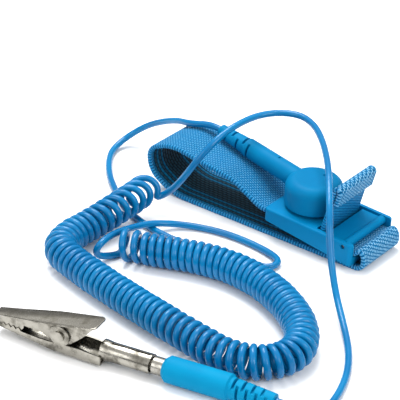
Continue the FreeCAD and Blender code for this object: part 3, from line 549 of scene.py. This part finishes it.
# Pale tips on the highest loops are a painted highlight. It is painted stronger round the front turn and the
# hem, where the light glints on the folds, and weaker on the tail before the hem.
front_turn = run.clamped(141.0, 144.0) - run.clamped(152.5, 156.0)
hem_turn = run.clamped(179.6, 181.2)
plain_tail = run.clamped(162.0, 165.0) - hem_turn
lit_turn = (front_turn + hem_turn) * 0.60 + 0.32 * (1 - plain_tail * 0.85)
painted_highlight_tip = height.clamped(0.55, 0.85) * yarn.clamped(0.38, 0.58) * lit_turn * (1 - from_edge * 0.5)
knit_finish.feed("Base Color", knit_finish.mix(painted_highlight_tip, shaded_weave_colour, (0.30, 0.56, 0.74)))
knit_finish.feed("Roughness", 0.75 - 0.25 * height)
knit_finish.bump(height + yarn * 0.25, 0.00022, 0.9)

lining_finish = Finish("band_lining", IOR=1.45, Specular_IOR_Level=0.12)
lining_map = lining_finish.node("ShaderNodeTexCoord")[2]
run, width, _ = lining_finish.node("ShaderNodeSeparateXYZ", {}, [lining_map])
RIB = 1.02
DASH = 1.7
rib = width / RIB + 20.0
within = rib.fraction()
index = rib - within
dash = (run / DASH + index * 0.5).fraction()
rib_height = (within * (1 - within) * 4) ** 0.7
dash_height = (dash * (1 - dash) * 4) ** 0.5
height = rib_height * (0.35 + 0.65 * dash_height)
fibre = lining_finish.noise(lining_map, 4.0, 3.0, 0.6)
# Both the charcoal and the blue rows follow the height of the ribs and dashes. They are darker in the gaps
# between them and lighter on their tops: painted shade in the gaps, over the lining's own colours.
dark = lining_finish.mix(height.clamped(0.3, 0.95) * (0.55 + 0.45 * fibre), (0.004, 0.010, 0.016),
                         (0.016, 0.075, 0.120))
blue = lining_finish.mix(height.clamped(0.25, 0.9), (0.0, 0.040, 0.095), (0.0, 0.150, 0.310))
blue_rib = abs(width).clamped(3.0, 3.6) * (0.75 - (index * 0.5).fraction()).above(0.5)
lining_finish.feed("Base Color", lining_finish.node("ShaderNodeMix", {"data_type": "RGBA"},
                                                    {0: blue_rib, 6: dark, 7: blue})[2])
lining_finish.feed("Roughness", 0.8 - 0.3 * height)
lining_finish.bump(height + fibre * 0.2, 0.00025, 0.9)

knit = strap("band_knit_strap", knit_section, 1.0)
lining = strap("band_lining_strap", lining_section, 0.0)
for piece, node, finish in ((knit, "band_knit", knit_finish), (lining, "band_lining", lining_finish)):
    paint(piece, finish)
    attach(piece, "strap")
    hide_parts(node)

# The hem shows knit on both its faces.
HEM_FROM = 181.0
lining.data.materials.append(knit_finish.material)
lining_uv = np.empty(len(lining.data.loops) * 2)
lining.data.uv_layers[0].data.foreach_get("uv", lining_uv)
first_loop = np.empty(len(lining.data.polygons), np.int32)
lining.data.polygons.foreach_get("loop_start", first_loop)
in_hem = lining_uv[0::2][first_loop] > HEM_FROM
lining.data.polygons.foreach_set("material_index", in_hem.astype(np.int32))


# ---- Clasp: a moulded base with a raised platform and a recessed lever that turns on a steel
# pin and pinches the band. A steel plate under it touches the wrist.
def moulded(name, deep, light, roughness, grain):
    """Satin moulded plastic: slow changes of tone, a fine pebble, and slightly uneven gloss."""
    finish = Finish(name, IOR=1.46, Specular_IOR_Level=0.07)
    at = finish.place()
    slow = finish.noise(at, 90.0, 3.0)
    pebble = finish.noise(at, 5200.0, 2.0, 0.7)
    scuff = finish.noise(at, 700.0, 6.0, 0.75)
    tone = slow.clamped(0.3, 0.7) * 0.8 + pebble * 0.2
    marks = scuff.clamped(0.60, 0.78)
    base = finish.mix(tone, deep, light)
    paler = tuple(0.94 * channel + 0.03 for channel in light)
    finish.feed("Base Color", finish.mix(marks * 0.12, base, paler))
    finish.feed("Roughness", roughness + 0.12 * slow - 0.10 * marks)
    finish.bump(pebble * grain + scuff * 0.3, 0.00003, 0.6)
    return finish


def dress(finish, nodes):
    """Gives a finish to CAD nodes, whose meshes stay as they are."""
    for node in nodes:
        paint(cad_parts[node], finish)


def plated(name, colour, dull, roughness, scratch):
    """Plated or plain metal: rubbed patches, fine directional scratches and a slight tarnish. Where the dull
    colour is very dark, as on the clip, the patches are also painted reflection.
    """
    finish = Finish(name, Metallic=1.0)
    at = finish.place()
    patch = finish.noise(at, 260.0, 4.0, 0.6)
    stretched = finish.node("ShaderNodeMapping", {}, {"Vector": at, "Rotation": (0, 0, math.radians(-11.5)),
                                                      "Scale": (0.12, 1.0, 1.0)})[0]
    line = finish.noise(stretched, 6500.0, 2.0, 0.6)
    finish.feed("Base Color", finish.mix(patch.clamped(0.38, 0.72), colour, dull))
    finish.feed("Roughness", roughness + 0.22 * patch.clamped(0.35, 0.75) + scratch * line)
    finish.bump(line * 0.4 + patch * 0.6, 0.00002, 0.5)
    return finish


clasp_finish = moulded("clasp_plastic", (0.0, 0.160, 0.365), (0.0, 0.198, 0.425), 0.40, 0.6)
steel_finish = plated("contact_steel", (0.30, 0.30, 0.30), (0.20, 0.20, 0.20), 0.28, 0.12)
dress(clasp_finish, ["clasp_base", "clasp_lever"])
dress(steel_finish, ["contact_plate", "lever_pin"])

# ---- Snap: a nickel-plated stud riveted through the band, and the socket pressed over it with a
# sprung wire ring inside. The cap is moulded over the socket, with a long arm for the lead.
snap_finish = plated("snap_metal", (0.74, 0.73, 0.70), (0.52, 0.51, 0.48), 0.12, 0.10)
cap_finish = moulded("cap_plastic", (0.0, 0.155, 0.345), (0.0, 0.195, 0.405), 0.42, 0.7)
dress(snap_finish, ["snap_stud", "snap_socket"])
dress(cap_finish, ["snap_cap"])
dress(plated("spring_steel", (0.50, 0.50, 0.49), (0.34, 0.34, 0.34), 0.25, 0.10), ["socket_spring"])

# ---- Resistor: a small lacquered resistor inside the arm, between the socket and the lead, with
# tinned wires, and a brass crimp on the lead's stripped end.
resistor_finish = Finish("resistor_body", IOR=1.5)
at = resistor_finish.place()
band_at = resistor_finish.node("ShaderNodeMapping", {},
                               {"Vector": at, "Rotation": (0, 0, math.radians(-7.5))})[0]
lengthwise, _, _ = resistor_finish.node("ShaderNodeSeparateXYZ", {}, [band_at])
stripe = ((lengthwise * 720.0).fraction() - 0.5).above(0.18)
mottle = resistor_finish.noise(at, 900.0, 3.0)
resistor_finish.feed("Base Color", resistor_finish.mix(
    stripe, resistor_finish.mix(mottle, (0.52, 0.36, 0.19), (0.62, 0.45, 0.25)), (0.16, 0.05, 0.02)))
resistor_finish.feed("Roughness", 0.30 + 0.15 * mottle)
dress(resistor_finish, ["resistor"])
dress(plated("tinned_wire", (0.66, 0.65, 0.62), (0.50, 0.50, 0.48), 0.30, 0.10),
      ["resistor_lead_front", "resistor_lead_back"])
dress(plated("crimp_brass", (0.70, 0.50, 0.20), (0.50, 0.34, 0.13), 0.24, 0.12), ["snap_crimp"])
dress(cord_finish, ["cord_end"])

# ---- Plug: a nickel-plated pin with a sprung sleeve of thin sheet and a collar behind it. A
# softer moulded boot with a slotted relief grips the collar and the lead.
boot_finish = moulded("boot_plastic", (0.0, 0.215, 0.420), (0.0, 0.262, 0.480), 0.48, 0.9)
plug_finish = plated("plug_nickel", (0.36, 0.345, 0.31), (0.19, 0.18, 0.155), 0.20, 0.08)
dress(boot_finish, ["plug_boot"])
dress(plug_finish, ["banana_core", "banana_spring"])

# ---- Clip: two jaws of nickel-plated sheet, pressed to a channel with teeth, held by a rivet.
# A wound wire spring on the rivet closes them; only its coils are made. The lower jaw's
# back is rolled into a barrel that slides over the plug.
# The clip's dull colour is very dark. Its patches are therefore partly rubbed plating and partly painted
# reflection, standing in for the dark reflections on the jaws' tops.
clip_finish = plated("clip_nickel", (0.36, 0.345, 0.305), (0.11, 0.103, 0.085), 0.15, 0.06)
dress(clip_finish, ["clip_rivet"])


def soft_edged(node, body, width):
    """The node's own shape again, with its corners eased by a narrow rounded bevel."""
    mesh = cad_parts[node].data.copy()
    shape = bmesh.new()
    shape.from_mesh(mesh)
    bmesh.ops.remove_doubles(shape, verts=shape.verts, dist=2e-6)
    bmesh.ops.dissolve_limit(shape, angle_limit=math.radians(1.0), verts=shape.verts, edges=shape.edges)
    bmesh.ops.recalc_face_normals(shape, faces=shape.faces)
    shape.to_mesh(mesh)
    shape.free()
    mesh.polygons.foreach_set("use_smooth", np.ones(len(mesh.polygons), bool))
    thing = bpy.data.objects.new(node + "_sheet", mesh)
    bpy.context.collection.objects.link(thing)
    ease = thing.modifiers.new("ease", "BEVEL")
    ease.width = width * MM
    ease.segments = 2
    ease.limit_method = "ANGLE"
    ease.angle_limit = math.radians(35)
    ease.harden_normals = True
    paint(thing, clip_finish)
    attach(thing, body)
    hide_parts(node)


soft_edged("clip_lower_jaw", "clip_lower", 0.12)
soft_edged("clip_upper_jaw", "clip_upper", 0.12)

PLUG_YAW = math.radians(11.5)
pivot_low, pivot_high = [np.array(corner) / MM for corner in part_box("clip_rivet")]
pivot = (pivot_low + pivot_high) / 2
pin_axis = np.array((-math.sin(PLUG_YAW), math.cos(PLUG_YAW), 0.0))
ahead_axis = np.array((math.cos(PLUG_YAW), math.sin(PLUG_YAW), 0.0))
SPRING_WIRE = 0.55
SPRING_TURNS = 5.3
SPRING_RADIUS = 1.42
SPRING_HALF = 1.6
turn_angle = np.linspace(0, 2 * math.pi * SPRING_TURNS, 140)
drift = np.linspace(-SPRING_HALF, SPRING_HALF, 140)
start_angle = math.radians(-60.0)
wound = (pivot + np.outer(np.cos(start_angle + turn_angle) * SPRING_RADIUS, ahead_axis)
         + np.outer(np.sin(start_angle + turn_angle) * SPRING_RADIUS, (0.0, 0.0, 1.0))
         + np.outer(drift, pin_axis))
spring_curve = smooth_curve("clip_spring_wire", wound, 4)
spring_curve.data.bevel_depth = SPRING_WIRE / 2 * MM
spring_curve.data.bevel_resolution = 2
spring_curve.data.use_fill_caps = True
spring_finish = plated("clip_spring_steel", (0.50, 0.49, 0.47), (0.30, 0.29, 0.28), 0.22, 0.10)
clip_spring = as_mesh(spring_curve)
paint(clip_spring, spring_finish)
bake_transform(clip_spring)
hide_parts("clip_spring")
